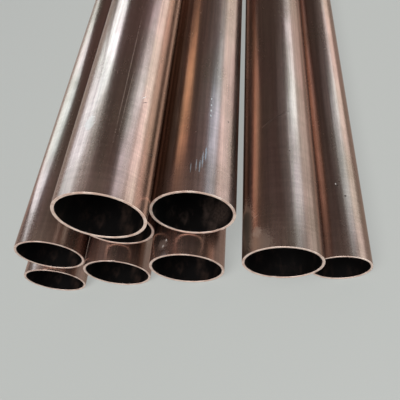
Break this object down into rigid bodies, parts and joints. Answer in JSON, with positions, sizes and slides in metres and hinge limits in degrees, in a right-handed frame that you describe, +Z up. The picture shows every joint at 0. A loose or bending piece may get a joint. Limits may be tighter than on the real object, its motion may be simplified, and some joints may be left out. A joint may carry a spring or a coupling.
{
  "type": "copper tube stack",
  "caption": "Stack of straight round copper tubes of mixed diameters, with open square-cut ends, lying in rows on a floor with upper tubes in the grooves below",
  "frame": {"origin": "on the floor, under the middle of the stack's box", "axes": "+Y runs along the tubes, away from the near cut ends; +Z is up; +X is to the right as seen from the near ends"},
  "size_m": [0.2284, 1.04, 0.1091],
  "materials": {
    "copper": "drawn copper with a dull brown bloom, bright cut rims and handling marks"
  },
  "bodies": {
    "root": {"floor_tube_1": "copper", "floor_tube_2": "copper", "floor_tube_3": "copper", "floor_tube_4": "copper", "floor_tube_5": "copper", "middle_tube_1": "copper", "middle_tube_2": "copper", "middle_tube_3": "copper", "middle_tube_4": "copper", "top_tube": "copper"}
  },
  "joints": []
}
